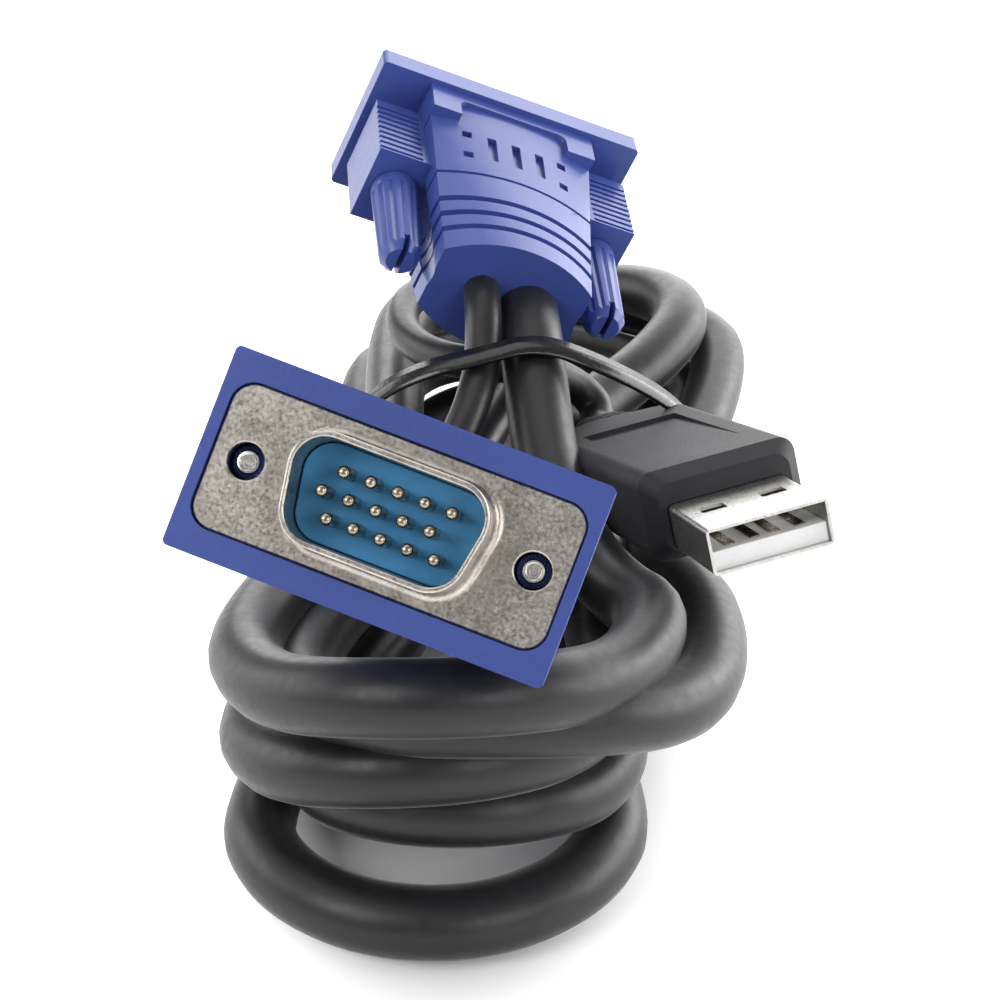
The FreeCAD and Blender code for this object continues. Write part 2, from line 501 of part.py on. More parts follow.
# Thumbscrew: a fluted knob with a driver slot, and the screw that it turns
def make_knob(label, place):
    body = new_body(label, place)
    round_end = add_sketch(body, "round", lift="-Sizes.knob_end")
    circle(round_end, "Sizes.knob_size")
    pad(body, round_end, "Sizes.knob_end - Sizes.knob_start")
    end = -size("knob_end")
    round_edges(body, lambda edge: lies_at(edge, end) and edge.Length > 1, "Sizes.knob_chamfer", "PartDesign::Chamfer")
    flute = add_sketch(body, "flute", lift="-Sizes.flute_start", across="Sizes.knob_size / 2")
    deep = size("flute_deep")
    half = size("flute_wide") / 2
    closed_lines(flute, [(-deep, 0), (deep, half), (deep, -half)])
    flute.addConstraint(Sketcher.Constraint("PointOnObject", 0, 1, -1))
    flute.addConstraint(Sketcher.Constraint("Symmetric", 1, 1, 1, 2, -1))
    hold(flute, "DistanceX", (0, 1, -1, 1), "Sizes.flute_deep")
    hold(flute, "DistanceX", (-1, 1, 1, 1), "Sizes.flute_deep")
    hold(flute, "DistanceY", (1, 2, 1, 1), "2 * Sizes.flute_wide")
    cut = pocket(body, flute, "Sizes.knob_end")
    ring = body.newObject("PartDesign::PolarPattern", f"{label}_flutes")
    ring.Originals = [cut]
    ring.Axis = (round_end, ["N_Axis"])
    ring.Angle = 360
    ring.setExpression("Occurrences", "Sizes.flute_count")
    body.Tip = ring
    settle(ring)
    slot = add_sketch(body, "slot", lift="-Sizes.knob_end")
    rectangle(slot, "Sizes.slot_wide", "2 * Sizes.knob_size")
    pocket(body, slot, "Sizes.slot_deep", reverse=True)
    bore = add_sketch(body, "bore", lift="-Sizes.knob_start")
    circle(bore, "Sizes.screw_size + 2 * Sizes.thread_gap")
    pocket(body, bore, "Sizes.screw_hold")
    return body


def make_screw(label, place):
    body = new_body(label, place)
    shank = add_sketch(body, "shank", lift="-Sizes.knob_start - Sizes.screw_hold")
    circle(shank, "Sizes.screw_size")
    pad(body, shank, "Sizes.knob_start + Sizes.screw_hold - Sizes.screw_tip")
    tip = -size("screw_tip")
    round_edges(body, lambda edge: lies_at(edge, tip) and edge.Length > 1, "Sizes.screw_bevel", "PartDesign::Chamfer")
    return body


def make_video_plug(name):
    place = plug_place(name)
    make_shell(name, place)
    make_insulator(name, place)
    make_pins(name, place)
    make_hood(name, place)
    for side, sign in (("left", "-"), ("right", "")):
        across = f"{sign}Sizes.screw_spacing / 2"
        make_knob(f"{name}_{side}_knob", beside(place, across))
        make_screw(f"{name}_{side}_screw", beside(place, across))


# USB plug: a folded metal shell with two windows on each broad side
def make_usb_shell(place):
    body = new_body("usb_shell", place)
    outside = add_sketch(body, "outside", lift="-Sizes.usb_exposed - Sizes.usb_held")
    rounded_rectangle(outside, "Sizes.usb_shell_width", "Sizes.usb_shell_height", "Sizes.usb_round")
    pad(body, outside, "Sizes.usb_exposed + Sizes.usb_held")
    inside = add_sketch(body, "inside")
    rectangle(inside, "Sizes.usb_shell_width - 2 * Sizes.usb_wall", "Sizes.usb_shell_height - 2 * Sizes.usb_wall")
    pocket(body, inside, "Sizes.usb_exposed + Sizes.usb_held")
    window = add_sketch(body, "window", "XZ_Plane", lift="Sizes.usb_shell_height",
                        across="-Sizes.window_out", along="-Sizes.window_back")
    rectangle(window, "Sizes.window_wide", "Sizes.window_long")
    cut = pocket(body, window, "2 * Sizes.usb_shell_height")
    row_of(body, cut, window, "H_Axis", "2 * Sizes.window_out", "2")
    return body


# White tongue in the lower half of the shell, and the contacts that lie on it
def make_tongue(place):
    body = new_body("usb_tongue", place)
    floor = "Sizes.usb_shell_height / 2 - Sizes.usb_wall"
    block = add_sketch(body, "block", lift="-Sizes.usb_exposed - Sizes.usb_held",
                       along=f"Sizes.tongue_height / 2 - ({floor})")
    rectangle(block, "Sizes.usb_shell_width - 2 * Sizes.usb_wall - 2 * Sizes.tongue_gap", "Sizes.tongue_height")
    pad(body, block, "Sizes.usb_exposed + Sizes.usb_held - Sizes.tongue_back")
    return body


def make_contacts(place):
    strips = []
    for index, across in enumerate(("-Sizes.contact_outer", "-Sizes.contact_inner",
                                    "Sizes.contact_inner", "Sizes.contact_outer")):
        strip = doc.addObject("Part::Box", f"usb_contact_{index + 1}")
        strip.setExpression("Length", "Sizes.contact_wide")
        strip.setExpression("Width", "Sizes.contact_thick")
        strip.setExpression("Height", "Sizes.contact_long")
        level = "Sizes.tongue_height - Sizes.usb_shell_height / 2 + Sizes.usb_wall"
        corner = f"vector({across} - Sizes.contact_wide / 2; {level}; -Sizes.contact_start - Sizes.contact_long)"
        strip.setExpression("Placement", f"placement({corner}; rotation(0; 0; 0))")
        strips.append(strip)
    group = doc.addObject("Part::Compound", "usb_contacts")
    group.Label = "usb_contacts"
    group.Links = strips
    group.setExpression("Placement", place)
    return group


# Moulded grip of the USB plug: bevelled at the shell, a wedge that thins to the back, then a slit strain relief
def make_usb_mould(place):
    body = new_body("usb_mould", place)
    rise = "Sizes.mould_rise"
    face = add_sketch(body, "face", lift="-Sizes.usb_exposed", along=rise)
    rounded_rectangle(face, "Sizes.mould_face_width", "Sizes.mould_face_height", "Sizes.mould_round")
    front = add_sketch(body, "front", lift="-Sizes.usb_exposed - Sizes.mould_bevel", along=rise)
    rounded_rectangle(front, "Sizes.mould_width", "Sizes.mould_height", "Sizes.mould_round")
    loft(body, face, front)
    back = add_sketch(body, "back", lift="-Sizes.mould_end", along="Sizes.back_rise")
    rounded_rectangle(back, "Sizes.back_width", "Sizes.back_height", "Sizes.mould_round")
    loft(body, front, back)
    relief = add_sketch(body, "relief", lift="-Sizes.neck_start")
    rounded_rectangle(relief, "Sizes.relief_width", "Sizes.relief_height", "Sizes.relief_round")
    loft(body, back, relief)
    end = add_sketch(body, "end", lift="-Sizes.usb_length")
    rounded_rectangle(end, "Sizes.tail_neck_width", "Sizes.tail_neck_height", "Sizes.relief_round")
    loft(body, relief, end)
    ring = add_sketch(body, "slit", lift="-Sizes.slit_first")
    rectangle(ring, "Sizes.tail_neck_width - 2 * Sizes.slit_deep", "2 * Sizes.relief_height")
    side = pocket(body, ring, "Sizes.slit_wide")
    row_of(body, side, ring, "N_Axis", "Sizes.slit_pitch * (Sizes.slit_count - 1)", "Sizes.slit_count", True)
    seat = add_sketch(body, "seat", lift="-Sizes.usb_exposed")
    rounded_rectangle(seat, "Sizes.usb_shell_width + 2 * Sizes.tongue_gap",
                      "Sizes.usb_shell_height + 2 * Sizes.tongue_gap", "Sizes.usb_round + Sizes.tongue_gap")
    pocket(body, seat, "Sizes.usb_held")

    # Thumb rest: a ramp that is deepest at its back edge and runs out level at the front
    high = "(Sizes.mould_height / 2 + Sizes.mould_rise)"
    fall = (f"({high} - Sizes.back_height / 2 - Sizes.back_rise)"
            " / (Sizes.mould_end - Sizes.usb_exposed - Sizes.mould_bevel)")
    start = f"{high} - {fall} * (Sizes.thumb_front - Sizes.usb_exposed - Sizes.mould_bevel)"
    ramp = add_sketch(body, "ramp", "YZ_Plane", lift="-Sizes.thumb_half", across=start)
    drop = f"{fall} * (Sizes.thumb_back - Sizes.thumb_front) + Sizes.thumb_deep"
    low = float(ramp.evalExpression(drop))
    closed_lines(ramp, [(0, -size("thumb_front")), (-low, -size("thumb_back")),
                        (size("thumb_deep"), -size("thumb_back"))])
    hold(ramp, "DistanceY", (0, 1, -1, 1), "Sizes.thumb_front")
    ramp.addConstraint(Sketcher.Constraint("PointOnObject", 0, 1, -2))
    ramp.addConstraint(Sketcher.Constraint("Horizontal", 1))
    hold(ramp, "DistanceY", (1, 1, -1, 1), "Sizes.thumb_back")
    hold(ramp, "DistanceX", (1, 1, -1, 1), drop)
    hold(ramp, "DistanceX", (-1, 1, 1, 2), "Sizes.thumb_deep")
    pocket(body, ramp, "2 * Sizes.thumb_half", reverse=True)
    return body


# Cable: tubes along straight runs that are joined by tangent arcs
BEND_SHARE = 0.45


def tube_path(label, points, diameter):
    points = [Vector(*point) for point in points]
    runs = [(end - start).Length for start, end in zip(points, points[1:])]
    edges = []
    radii = []
    start = points[0]
    for index in range(1, len(points) - 1):
        corner = points[index]
        back = (points[index - 1] - corner).normalize()
        onward = (points[index + 1] - corner).normalize()
        half_turn = (math.pi - back.getAngle(onward)) / 2
        trim = BEND_SHARE * min(runs[index - 1], runs[index])
        radius = trim / math.tan(half_turn)
        radii.append(radius / diameter)
        inward = (back + onward).normalize()
        middle = corner + inward * (radius / math.cos(half_turn) - radius)
        enter = corner + back * trim
        leave = corner + onward * trim
        edges.append(Part.LineSegment(start, enter).toShape())
        edges.append(Part.Arc(enter, middle, leave).toShape())
        start = leave
    edges.append(Part.LineSegment(start, points[-1]).toShape())
    print(label, "bend radii in diameters:", [round(radius, 1) for radius in radii])
    return Part.Wire(edges)


def make_tube(label, points, diameter):
    path = tube_path(label, points, diameter)
    heading = Vector(*points[1]) - Vector(*points[0])
    sides = int(size("cable_sides"))
    corners = [Vector(diameter / 2 * math.cos(2 * math.pi * step / sides),
                      diameter / 2 * math.sin(2 * math.pi * step / sides), 0) for step in range(sides + 1)]
    ring = Part.makePolygon(corners)
    ring.Placement = FreeCAD.Placement(Vector(*points[0]), FreeCAD.Rotation(Vector(0, 0, 1), heading))
    feature = doc.addObject("Part::Feature", label)
    feature.Label = label
    feature.Shape = path.makePipeShell([ring], True, False)
    share = feature.Shape.Volume / (Part.Face(ring).Area * path.Length)
    print(label, "length", round(path.Length, 1), "volume over section times length", round(share, 4))
    return feature


def plug_point(name, x, y, z):
    """A point of a plug's own frame, in the part's frame."""
    turn = FreeCAD.Rotation(size(f"{name}_yaw"), size(f"{name}_pitch"), size(f"{name}_roll"))
    base = Vector(size(f"{name}_x"), size(f"{name}_y"), size(f"{name}_z"))
    point = base + turn.multVec(Vector(x, y, z))
    return (point.x, point.y, point.z)


def make_leads():
    hood = -size("hood_length")
    thick = (size("thick_bore_x"), size("thick_bore_y"))
    thin = (size("thin_bore_x"), size("thin_bore_y"))
    rear = [plug_point("rear", *thick, hood), plug_point("rear", *thick, hood - size("rear_straight"))]
    make_tube("rear_lead", rear + REAR_LEAD, size("cable_size"))
    front = [plug_point("front", 0, 0, hood), plug_point("front", 0, 0, hood - size("front_straight"))]
    make_tube("front_lead", front + FRONT_LEAD, size("cable_size"))
    start = [plug_point("rear", *thin, hood), plug_point("rear", *thin, hood - size("thin_straight"))]
    usb_end = -size("usb_length")
    end = [plug_point("usb", 0, 0, usb_end - size("usb_straight")), plug_point("usb", 0, 0, usb_end)]
    make_tube("usb_lead", start + PIGTAIL + end, size("pigtail_size"))


# Hank: the outer shape of the wound turns
def tangent_point(centre, radius, point, side):
    """Where a line from the point touches a circle, on its left (-1) or right (+1) side seen from the point."""
    gap = centre - point
    angle = math.atan2(gap.y, gap.x) - side * math.asin(radius / gap.Length)
    reach = math.sqrt(gap.Length ** 2 - radius ** 2)
    return point + Vector(reach * math.cos(angle), reach * math.sin(angle), 0)


def make_hank():
    front = Vector(size("front_bend_x"), size("front_bend_y"), 0)
    back = Vector(size("back_bend_x"), size("back_bend_y"), 0)
    left = Vector(size("waist_left"), size("waist_y"), 0)
    right = Vector(size("waist_right"), size("waist_y"), 0)
    front_round = size("front_bend_round")
    back_round = size("back_bend_round")
    outline = Part.Wire([
        Part.LineSegment(left, tangent_point(front, front_round, left, 1)).toShape(),
        Part.Arc(tangent_point(front, front_round, left, 1), front - Vector(0, front_round, 0),
                 tangent_point(front, front_round, right, -1)).toShape(),
        Part.LineSegment(tangent_point(front, front_round, right, -1), right).toShape(),
        Part.LineSegment(right, tangent_point(back, back_round, right, 1)).toShape(),
        Part.Arc(tangent_point(back, back_round, right, 1), back + Vector(0, back_round, 0),
                 tangent_point(back, back_round, left, -1)).toShape(),
        Part.LineSegment(tangent_point(back, back_round, left, -1), left).toShape(),
    ])
    solid = Part.Face(outline).extrude(Vector(0, 0, size("front_top")))
    waist = [edge for edge in solid.Edges if abs(edge.CenterOfMass.y - size("waist_y")) < 0.01
             and abs(edge.tangentAt(0).z) > 0.99]
    solid = solid.makeFillet(size("waist_round"), waist)
    for name, sign in (("front_eye", 1), ("back_eye", -1)):
        centre = Vector(size(f"{name}_x"), size(f"{name}_y"), 0)
        radius = size(f"{name}_round")
        apex = centre + Vector(0, sign * size(f"{name}_reach"), 0)
        one = tangent_point(centre, radius, apex, 1)
        other = tangent_point(centre, radius, apex, -1)
        eye = Part.Wire([Part.LineSegment(apex, one).toShape(),
                         Part.Arc(one, centre - Vector(0, sign * radius, 0), other).toShape(),
                         Part.LineSegment(other, apex).toShape()])
        solid = solid.cut(Part.Face(eye).extrude(Vector(0, 0, size("front_top"))))
    reach = front_round + back_round + back.y - front.y
    margin = size("cut_margin")
    above = size("front_top") + margin
    crest = [(front.y - front_round - margin, size("front_top")), (size("shoulder_y"), size("shoulder_top")),
             (size("waist_front_y"), size("waist_top")), (size("waist_back_y"), size("waist_top")),
             (size("back_shoulder_y"), size("back_top")), (back.y + back_round + margin, size("back_top"))]
    corners = [Vector(-reach, y, z) for y, z in crest]
    corners += [Vector(-reach, crest[-1][0], above), Vector(-reach, crest[0][0], above), corners[0]]
    cover = Part.Face(Part.makePolygon(corners)).extrude(Vector(2 * reach, 0, 0))
    groove_wide = size("tie_wide") + 2 * size("tie_slack")
    groove = Part.makeBox(2 * reach, groove_wide, size("tie_thick") + size("tie_slack"),
                          Vector(-reach, size("tie_y") - groove_wide / 2, 0))
    feature = doc.addObject("Part::Feature", "cable_hank")
    feature.Label = "cable_hank"
    feature.Shape = solid.cut(cover).cut(groove)
    return feature


# Tie: one flat strap round the waist of the hank and the plugs' leads
def make_tie():
    loop = doc.addObject("Part::Polygon", "tie_loop")
    loop.Nodes = [Vector(x, size("tie_y") + size("tie_wide") / 2, z + size("tie_thick")) for x, z in TIE_LOOP]
    loop.Close = True
    strap = doc.addObject("Part::Offset2D", "tie_strap")
    strap.Source = loop
    strap.setExpression("Value", "Sizes.tie_thick")
    strap.Fill = True
    tie = doc.addObject("Part::Extrusion", "tie")
    tie.Label = "tie"
    tie.Base = strap
    tie.DirMode = "Custom"
    tie.Dir = Vector(0, -1, 0)
    tie.Solid = True
    tie.setExpression("LengthFwd", "Sizes.tie_wide")
    return tie


make_video_plug("front")
make_video_plug("rear")
usb_place = plug_place("usb")
make_usb_shell(usb_place)
make_tongue(usb_place)
make_contacts(usb_place)
make_usb_mould(usb_place)
make_leads()
make_hank()
make_tie()
doc.recompute()

PLUG_NODES = ["shell", "insulator", "pins", "hood", "left_knob", "right_knob", "left_screw", "right_screw"]
NODES = [f"{name}_{node}" for name in ("front", "rear") for node in PLUG_NODES]
NODES += ["usb_shell", "usb_tongue", "usb_contacts", "usb_mould"]
NODES += ["rear_lead", "front_lead", "usb_lead", "cable_hank", "tie"]

for thing in doc.Objects:
    if "Invalid" in thing.State or "Error" in thing.State:
        raise ValueError(f"{thing.Name} failed: {thing.State}")
os.makedirs("parts", exist_ok=True)
for node in NODES:
    shape = doc.getObjectsByLabel(node)[0].Shape
    if shape.isNull() or not shape.isValid() or not shape.Solids:
        raise ValueError(f"{node} has no valid solid")
    shape.exportStep(f"parts/{node}.step")
print(len(NODES), "nodes written")
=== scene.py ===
import bmesh
import bpy
from math import cos, pi, radians, sin
from mathutils import Euler, Matrix, Vector


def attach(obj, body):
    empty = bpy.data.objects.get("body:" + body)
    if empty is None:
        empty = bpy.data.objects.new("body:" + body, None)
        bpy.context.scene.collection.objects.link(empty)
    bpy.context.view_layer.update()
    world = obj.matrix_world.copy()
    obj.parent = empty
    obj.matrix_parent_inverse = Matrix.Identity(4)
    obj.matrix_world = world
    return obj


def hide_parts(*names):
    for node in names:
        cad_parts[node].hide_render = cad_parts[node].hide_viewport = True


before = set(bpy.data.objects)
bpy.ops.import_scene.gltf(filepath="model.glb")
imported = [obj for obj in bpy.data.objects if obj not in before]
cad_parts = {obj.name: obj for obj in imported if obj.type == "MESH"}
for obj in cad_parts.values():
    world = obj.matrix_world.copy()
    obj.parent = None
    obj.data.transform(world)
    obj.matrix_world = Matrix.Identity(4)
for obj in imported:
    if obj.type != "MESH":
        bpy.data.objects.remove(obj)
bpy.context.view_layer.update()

# The photographer's table: a wide sheet of white paper, seen from a little above the cable.
# The paper glows white to the lens and to the metal, and keeps the soft shadow of the hank; its glow fades out over
# an oval under the hank, which paints shade on the paper there.
scene = bpy.context.scene
scene.view_settings.view_transform = "Standard"
lens = bpy.data.cameras.new("lens")
lens.lens = 82.3
lens.sensor_width = 36.0
lens.clip_start = 0.01
camera = bpy.data.objects.new("camera", lens)
camera.location = (-0.0020, -0.2223, 0.1360)
camera.rotation_euler = (radians(62.0), 0.0, 0.0)
scene.collection.objects.link(camera)
scene.camera = camera


def keep(name, bm):
    """The mesh that bm holds becomes an object of the scene."""
    mesh = bpy.data.meshes.new(name)
    bm.to_mesh(mesh)
    bm.free()
    piece = bpy.data.objects.new(name, mesh)
    scene.collection.objects.link(piece)
    return piece


def new_material(name, **sockets):
    """A node material with plain values set on its shader."""
    material = bpy.data.materials.new(name)
    material.use_nodes = True
    shader = material.node_tree.nodes["Principled BSDF"]
    for socket, amount in sockets.items():
        shader.inputs[socket.replace("_", " ")].default_value = amount
    return material, material.node_tree.nodes, material.node_tree.links, shader


sheet = bmesh.new()
bmesh.ops.create_grid(sheet, x_segments=8, y_segments=8, size=2.5)
bmesh.ops.translate(sheet, verts=sheet.verts, vec=(0.0, 1.0, -0.0003))
paper = keep("paper", sheet)
white_paper, nodes, links, shader = new_material("white_paper", Roughness=0.9)
shader.inputs["Base Color"].default_value = (0.86, 0.86, 0.86, 1.0)
shader.inputs["Specular IOR Level"].default_value = 0.1
seen = nodes.new("ShaderNodeLightPath")
seen_or_mirrored = nodes.new("ShaderNodeMath")
seen_or_mirrored.operation = "MAXIMUM"
links.new(seen.outputs["Is Camera Ray"], seen_or_mirrored.inputs[0])
links.new(seen.outputs["Is Glossy Ray"], seen_or_mirrored.inputs[1])
seen_at_all = nodes.new("ShaderNodeMath")
seen_at_all.operation = "MAXIMUM"
links.new(seen_or_mirrored.outputs[0], seen_at_all.inputs[0])
links.new(seen.outputs["Is Transmission Ray"], seen_at_all.inputs[1])
place = nodes.new("ShaderNodeTexCoord")
# painted shade: over an oval under the hank the paper's glow fades to nothing, so the paper there reads darker than
# its lamps alone would make it
painted_shade_oval = nodes.new("ShaderNodeMapping")
painted_shade_oval.inputs["Scale"].default_value = (42.0, 14.0, 0.0)
painted_shade_oval.inputs["Location"].default_value = (0.25, 0.0, 0.0)
links.new(place.outputs["Object"], painted_shade_oval.inputs["Vector"])
reach = nodes.new("ShaderNodeVectorMath")
reach.operation = "LENGTH"
links.new(painted_shade_oval.outputs["Vector"], reach.inputs[0])
glow_beyond_painted_shade = nodes.new("ShaderNodeMapRange")
glow_beyond_painted_shade.inputs["From Min"].default_value, glow_beyond_painted_shade.inputs["From Max"].default_value = 0.75, 1.15
glow_beyond_painted_shade.inputs["To Min"].default_value, glow_beyond_painted_shade.inputs["To Max"].default_value = 0.0, 0.75
links.new(reach.outputs["Value"], glow_beyond_painted_shade.inputs["Value"])
lift = nodes.new("ShaderNodeMath")
lift.operation = "MULTIPLY"
links.new(seen_at_all.outputs[0], lift.inputs[0])
links.new(glow_beyond_painted_shade.outputs["Result"], lift.inputs[1])
shader.inputs["Emission Color"].default_value = (1.0, 1.0, 1.0, 1.0)
links.new(lift.outputs[0], shader.inputs["Emission Strength"])
paper.data.materials.append(white_paper)

world = bpy.data.worlds.new("studio")
world.use_nodes = True
nodes, links = world.node_tree.nodes, world.node_tree.links
nodes["Background"].inputs["Color"].default_value = (1.0, 1.0, 1.0, 1.0)
seen = nodes.new("ShaderNodeLightPath")
mirrored = nodes.new("ShaderNodeMath")
mirrored.operation = "MAXIMUM"
links.new(seen.outputs["Is Glossy Ray"], mirrored.inputs[0])
links.new(seen.outputs["Is Transmission Ray"], mirrored.inputs[1])
glow = nodes.new("ShaderNodeMapRange")
glow.inputs["To Min"].default_value, glow.inputs["To Max"].default_value = 0.15, 0.36
links.new(mirrored.outputs[0], glow.inputs["Value"])
white_backdrop = nodes.new("ShaderNodeMath")
white_backdrop.operation = "MAXIMUM"
links.new(glow.outputs["Result"], white_backdrop.inputs[0])
links.new(seen.outputs["Is Camera Ray"], white_backdrop.inputs[1])
links.new(white_backdrop.outputs[0], nodes["Background"].inputs["Strength"])
scene.world = world


def softbox(name, place, aim, width, height, power):
    """A large soft lamp that faces a point of the hank."""
    lamp = bpy.data.lights.new(name, "AREA")
    lamp.shape = "RECTANGLE"
    lamp.size, lamp.size_y = width, height
    lamp.energy = power
    stand = bpy.data.objects.new(name, lamp)
    stand.location = place
    stand.rotation_euler = (Vector(aim) - Vector(place)).to_track_quat("-Z", "Y").to_euler()
    scene.collection.objects.link(stand)


softbox("back_softbox", (0.30, 1.00, 0.42), (0.0, 0.0, 0.05), 1.7, 0.85, 16.0)
softbox("overhead_softbox", (-0.10, 0.10, 0.80), (0.0, 0.0, 0.02), 0.8, 0.6, 2.0)
softbox("left_softbox", (-0.72, 0.22, 0.26), (0.0, 0.0, 0.03), 0.7, 0.4, 2.8)
softbox("right_softbox", (0.72, 0.16, 0.20), (0.0, 0.0, 0.02), 0.9, 0.38, 6.5)
softbox("key_softbox", (-0.62, -0.55, 0.62), (0.0, -0.04, 0.045), 0.5, 0.5, 4.6)
softbox("fill_softbox", (0.48, -0.75, 0.42), (0.02, -0.04, 0.035), 0.5, 0.4, 2.6)

# The main cable: a 7 mm round cable in a satin black vinyl jacket, about 1.45 m from plug to plug.
# It leaves the rear video plug, goes round the hank five times and ends in the front plug's hood.
MM = 0.001
MAIN_DIAMETER = 7.0
MAIN_EXIT = (-2.9, -0.5)
HOOD_END = -31.0
STEP = pi / 5
OUT = 1.0 / cos(STEP / 2)
TIE_Y = 0.5
# where each plug stands, in millimetres, and its yaw, pitch and roll in degrees
plug_places = {
    "front": ((-11.0, -59.9, 48.2), (-14.0, 16.2, 58.0)),
    "rear": ((-4.0, 41.3, 43.1), (-170.3, -22.7, 77.5)),
    "usb": ((22.9, -38.5, 34.4), (15.6, -8.6, 73.5)),
}


def plug_turn(name):
    """The way that a plug points, as a rotation."""
    yaw, pitch, roll = plug_places[name][1]
    return Euler((radians(roll), radians(pitch), radians(yaw)), "XYZ").to_matrix()


def at_plug(name, across, up, out):
    """A point given in a plug's own frame, in millimetres of the part's frame."""
    return Vector(plug_places[name][0]) + plug_turn(name) @ Vector((across, up, out))


def half_turn(left_x, right_x, shoulder_y, tip_y, left_z, tip_z, right_z):
    """Control points of one end of a turn of the hank, from its right side to its left side."""
    points = []
    for k in range(6):
        side, reach = sin(pi / 2 - k * STEP), cos(pi / 2 - k * STEP)
        shoulder_z = right_z if side > 0 else left_z
        points.append((
            (left_x + right_x) / 2 + (right_x - left_x) / 2 * side * OUT,
            shoulder_y + (tip_y - shoulder_y) * reach * OUT,
            tip_z + (shoulder_z - tip_z) * abs(side) ** 1.5,
        ))
    return points


def lay_cord(name, route, diameter):
    """A round cord along one smooth spline."""
    curve = bpy.data.curves.new(name, "CURVE")
    curve.dimensions = "3D"
    spline = curve.splines.new("NURBS")
    spline.points.add(len(route) - 1)
    for point, place in zip(spline.points, route):
        point.co = (*(Vector(place) * MM), 1.0)
        point.radius = diameter / 2
    spline.order_u = 3
    spline.use_endpoint_u = True
    spline.resolution_u = 12
    curve.bevel_depth = 1.0
    curve.bevel_resolution = 7
    curve.use_fill_caps = True
    piece = bpy.data.objects.new(name, curve)
    scene.collection.objects.link(piece)
    return piece


# each turn: its front half, its left side at the tie (x, z), its back half, and points of its right side
turns = [
    ((-26.4, 12.2, -35.0, -58.2, 22.0, 31.0, 24.0), (-13.5, 20.5), (-14.5, 26.5, 45.0, 62.0, 18.5, 15.5, 14.0),
     [(13.5, TIE_Y, 9.5), (18.8, -18.0, 16.5)]),
    ((-21.5, 17.9, -35.0, -54.1, 18.5, 26.0, 19.0), (-12.5, 12.6), (-15.0, 23.0, 38.0, 54.5, 13.0, 11.5, 10.0),
     [(6.5, TIE_Y, 10.6)]),
    ((-26.0, 8.0, -35.0, -52.8, 12.2, 19.6, 16.5), (-16.5, 10.0), (-19.0, 25.0, 45.0, 63.5, 10.0, 8.5, 6.0),
     [(8.5, TIE_Y, 4.2)]),
    ((-20.4, 9.0, -36.0, -50.5, 9.6, 13.0, 10.0), (-10.0, 4.4), (-12.0, 21.0, 39.0, 55.0, 4.6, 3.8, 3.6),
     [(1.0, TIE_Y, 4.2)]),
    ((-25.8, 9.3, -38.0, -55.6, 3.5, 3.5, 3.5), (-15.2, 4.2), (-19.5, 21.0, 46.0, 66.0, 3.5, 14.0, 20.0), []),
]
route = [at_plug("rear", *MAIN_EXIT, HOOD_END), at_plug("rear", *MAIN_EXIT, HOOD_END - 5.0)]
route += [(2.0, 0.5, 30.6), (2.8, -7.5, 26.6), (5.0, -17.0, 23.0), (9.5, -26.0, 21.2)]
for front_end, left, back_end, right in turns:
    route += half_turn(*front_end)
    route.append((left[0], TIE_Y, left[1]))
    route += reversed(half_turn(*back_end))
    route += right
route += [(17.2, 35.5, 18.6), (8.6, 25.0, 16.8), (2.6, 12.0, 16.0), (0.2, -1.0, 16.5)]
route += [at_plug("front", 0.0, 0.0, HOOD_END - 13.0), at_plug("front", 0.0, 0.0, HOOD_END)]
main_cable = lay_cord("main_cable", route, MAIN_DIAMETER * MM)
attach(main_cable, "cable")
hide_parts("rear_lead", "cable_hank", "front_lead")


def mottle_group():
    """Soft clouds and fine grain over a surface: a mask for colour, one for gloss, and a height."""
    group = bpy.data.node_groups.new("mottle", "ShaderNodeTree")
    face = group.interface
    for name, amount in (("Cloud Scale", 150.0), ("Grain Scale", 2500.0)):
        face.new_socket(name, in_out="INPUT", socket_type="NodeSocketFloat").default_value = amount
    for name in ("Cloud", "Grain"):
        face.new_socket(name, in_out="OUTPUT", socket_type="NodeSocketFloat")
    inner, joins = group.nodes, group.links
    given, put = inner.new("NodeGroupInput"), inner.new("NodeGroupOutput")
    place = inner.new("ShaderNodeTexCoord")
    for name, detail in (("Cloud", 4.0), ("Grain", 2.0)):
        noise = inner.new("ShaderNodeTexNoise")
        noise.inputs["Detail"].default_value = detail
        noise.inputs["Roughness"].default_value = 0.6
        joins.new(place.outputs["Object"], noise.inputs["Vector"])
        joins.new(given.outputs[f"{name} Scale"], noise.inputs["Scale"])
        joins.new(noise.outputs["Fac"], put.inputs[name])
    return group


mottle = mottle_group()


